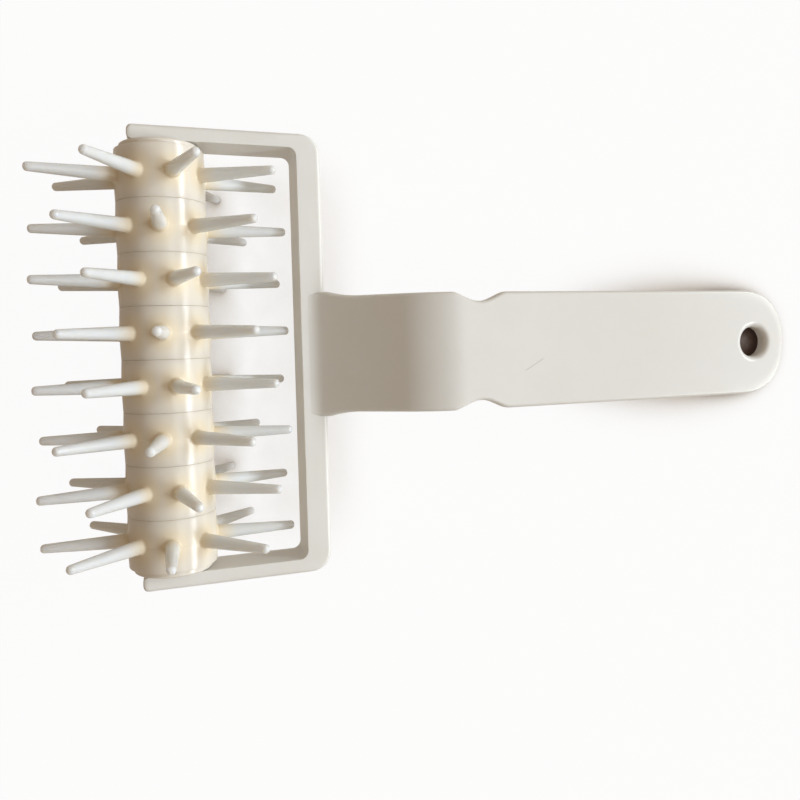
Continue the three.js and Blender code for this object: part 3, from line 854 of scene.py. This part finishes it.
def end_outline(sizes, join):
    """Points at equal steps along the handle's end, from one side of the join round to the other, and their
    outward aims: straight sides, then a superellipse."""
    begin = sizes.reach - sizes.end_length
    a = np.linspace(0, math.pi / 2, END_SAMPLES)
    power = 2 / sizes.end_fullness
    bend = np.stack([begin + sizes.end_length * np.sin(a) ** power,
                     sizes.width / 2 * np.cos(a).clip(0) ** power], -1)
    side = np.concatenate([[[join, sizes.width / 2]], bend])
    whole = np.concatenate([side, (side * (1, -1))[-2::-1]])
    run = np.concatenate([[0], np.cumsum(np.hypot(*np.diff(whole, axis=0).T))])
    at = np.linspace(0, run[-1], END_STEPS + 1)
    outline = np.stack([np.interp(at, run, whole[:, k]) for k in (0, 1)], -1)
    outline[END_STEPS // 2] = (sizes.reach, 0)
    ahead = np.gradient(outline, axis=0)
    aim = np.stack([-ahead[:, 1], ahead[:, 0]], -1)
    aim /= np.hypot(aim[:, 0], aim[:, 1])[:, None]
    aim[0], aim[-1] = (0, 1), (0, -1)
    return outline, aim


def handle_end(shell, sizes, join, top, edge):
    """The rounded end: its edge carried round the outline, and both faces ruled in to the hanging hole."""

    def lifted(plan, heights):
        """A plan's rows of points with a height for each row."""
        return np.concatenate([plan, np.broadcast_to(heights[:, None, None], (*plan.shape[:2], 1))], -1)

    def face(border, level, lip, below):
        """A face ruled from its border to the hole's mouth, then the rounding of the hole's rim."""
        loop = np.concatenate([border, seam])
        away = loop - hole
        aims = away / np.hypot(away[:, 0], away[:, 1])[:, None]
        mouth = hole + aims * (sizes.hole_radius + lip)
        s, c = (turn[1:, None, None] for turn in quarter(6))
        plan = np.concatenate([loop + (mouth - loop) * FACE_SHARES,
                               hole + aims * (sizes.hole_radius + lip * (1 - s))])
        patch = lifted(plan, np.append(level + 0 * FACE_SHARES, level - below * lip * (1 - c)))
        shell.add(in_yoke(patch), closed=True)
        return patch[-1]

    outline, aim = end_outline(sizes, join)
    strip = lifted(outline - aim * edge[:, None, :1], top - edge[:, 1])
    shell.add(in_yoke(strip))
    hole = np.array([sizes.reach - sizes.hole_to_end, 0])
    lanes = (sizes.width / 2 - sizes.edge) * LANES[1:-1]
    seam = np.stack([np.full(len(lanes), join), -lanes], -1)
    upper = face(strip[0, :, :2], top, sizes.hole_lip, 1)
    lower = face(strip[-1, :, :2], top - sizes.thickness, sizes.hole_edge, -1)
    shell.add(in_yoke(np.stack([upper, lower])), closed=True)


class DOCKER_OT_handle(bpy.types.Operator):
    """Gooseneck and flat handle with its hanging hole"""
    bl_idname = "docker.handle"
    bl_label = "Handle"

    def execute(self, context):
        material = plastics(context.scene)["Cream grip plastic"]
        shell = handle_shell(context.scene.docker_handle, context.scene.docker_yoke)
        shell.build("handle_skin", "frame", ["yoke_handle"], "moulding", material)
        return {"FINISHED"}


# Stage

TABLE_HALF = 3.0
KEY_SIZE = (2.0, 0.9)
TOP_SIZE = (2.4, 0.8)
LAMP_AIM = Vector((-0.02, 0, 0.02))
SENSOR = 36.0  # millimetres
CLIP_NEAR, CLIP_FAR = 0.01, 20


def seen_white(tree, stage):
    """How white a ray finds the surroundings: fully from the camera or through things, partly mirrored."""
    path = added(tree, "LightPath")
    mirrored = arithmetic(tree, "MULTIPLY", path["Is Glossy Ray"], stage.reflected_white)
    seen = arithmetic(tree, "MAXIMUM", path["Is Camera Ray"], mirrored)
    return arithmetic(tree, "MAXIMUM", seen, path["Is Transmission Ray"])


def fill_world(stage):
    """Even light from all round, which the camera sees as white."""
    world = bpy.data.worlds.new("fill")
    world.use_nodes = True
    tree = world.node_tree
    fill = tree.nodes["Background"]
    feed(tree, fill, {"Color": stage.fill, "Strength": stage.fill_strength})
    white = added(tree, "Background", {"Color": (1, 1, 1)})
    mix = added(tree, "MixShader", {0: seen_white(tree, stage), 1: fill.outputs[0], 2: white[0]})
    feed(tree, tree.nodes["World Output"], {"Surface": mix[0]})
    return world


def white_table(stage):
    """A pale table that the camera sees as white, with the object's shadow kept, fullest at contact."""
    material = bpy.data.materials.new("White table")
    material.use_nodes = True
    tree = material.node_tree
    shader = tree.nodes["Principled BSDF"]

    def openness(distance, low, high, most):
        """How open the table is at a point: 0 where things within the distance close it in, up to most."""
        seen = added(tree, "AmbientOcclusion", {"Distance": distance}, samples=16)
        return remap(tree, seen["AO"], low, high, 0.0, most)

    # Painted shadow: the table's colour turns dark where things within 12 mm close it in
    pale = mixed(tree, openness(12 * MM, 0.42, 0.85, 1.0), stage.table_painted_shadow, stage.table)
    feed(tree, shader, {"Base Color": pale, "Roughness": 0.9, "Specular IOR Level": 0.1})
    lit = arithmetic(tree, "MULTIPLY", seen_white(tree, stage), openness(25 * MM, 0.50, 0.92, 0.95))
    mix = added(tree, "MixShader", {0: lit, 1: shader.outputs[0], 2: added(tree, "Emission")[0]})
    feed(tree, tree.nodes["Material Output"], {"Surface": mix[0]})
    return material


class DOCKER_OT_stage(bpy.types.Operator):
    """Pale table, three soft lamps, even fill and the camera above"""
    bl_idname = "docker.stage"
    bl_label = "Stage"

    def execute(self, context):
        scene, stage = context.scene, context.scene.docker_stage
        corners = [(x * TABLE_HALF, y * TABLE_HALF, 0) for x, y in ((-1, -1), (1, -1), (1, 1), (-1, 1))]
        table = bpy.data.meshes.new("table")
        table.from_pydata(corners, [], [(0, 1, 2, 3)])
        table.materials.append(white_table(stage))
        table = bpy.data.objects.new("table", table)
        scene.collection.objects.link(table)
        x, y, z = stage.key_place
        lamps = (("key_left", (x, y, z), KEY_SIZE, stage.key_power),
                 ("key_right", (x, -y, z), KEY_SIZE, stage.key_power),
                 ("top", stage.top_place, TOP_SIZE, stage.top_power))
        for name, place, size, power in lamps:
            lamp = bpy.data.lights.new(name, "AREA")
            lamp.shape = "RECTANGLE"
            lamp.size, lamp.size_y = size
            lamp.energy = power
            lamp.color = stage.lamp_colour
            lamp = bpy.data.objects.new(name, lamp)
            lamp.location = place
            lamp.rotation_euler = (LAMP_AIM - lamp.location).to_track_quat("-Z", "Y").to_euler()
            scene.collection.objects.link(lamp)
        scene.world = fill_world(stage)
        lens = bpy.data.cameras.new("camera")
        lens.sensor_width = SENSOR
        lens.lens = stage.focal * SENSOR
        lens.shift_x, lens.shift_y = stage.shift
        lens.clip_start, lens.clip_end = CLIP_NEAR, CLIP_FAR
        camera = bpy.data.objects.new("camera", lens)
        camera.location = stage.camera_place
        camera.rotation_euler = Euler(stage.camera_turn, "XYZ")
        scene.collection.objects.link(camera)
        scene.camera = camera
        scene.view_settings.view_transform = "Standard"
        return {"FINISHED"}


class DOCKER_PT_panel(bpy.types.Panel):
    """Buttons and settings of the dough docker"""
    bl_idname = "DOCKER_PT_panel"
    bl_label = "Dough Docker"
    bl_space_type = "VIEW_3D"
    bl_region_type = "UI"
    bl_category = "Dough Docker"

    def draw(self, context):
        for operator in OPERATORS:
            self.layout.operator(operator.bl_idname)
        for name, cls in SETTINGS.items():
            column = self.layout.column(heading=cls.__doc__)
            for label in cls.__annotations__:
                column.prop(getattr(context.scene, name), label)


SETTINGS = {
    "docker_roller": DockerRollerSizes,
    "docker_yoke": DockerYokeSizes,
    "docker_handle": DockerHandleSizes,
    "docker_finish": DockerFinish,
    "docker_stage": DockerStage,
}
OPERATORS = (DOCKER_OT_stage, DOCKER_OT_rings, DOCKER_OT_collars, DOCKER_OT_core, DOCKER_OT_yoke,
             DOCKER_OT_handle)
CLASSES = (*SETTINGS.values(), *OPERATORS, DOCKER_PT_panel)


def register():
    for cls in CLASSES:
        bpy.utils.register_class(cls)
    for name, cls in SETTINGS.items():
        setattr(bpy.types.Scene, name, PointerProperty(type=cls))


def unregister():
    for name in SETTINGS:
        delattr(bpy.types.Scene, name)
    for cls in reversed(CLASSES):
        bpy.utils.unregister_class(cls)


def main():
    """Registers the classes, builds the stage and every piece, and writes both boxes."""
    register()
    for operator in OPERATORS:
        space, name = operator.bl_idname.split(".")
        getattr(getattr(bpy.ops, space), name)()


if __name__ == "__main__":
    main()
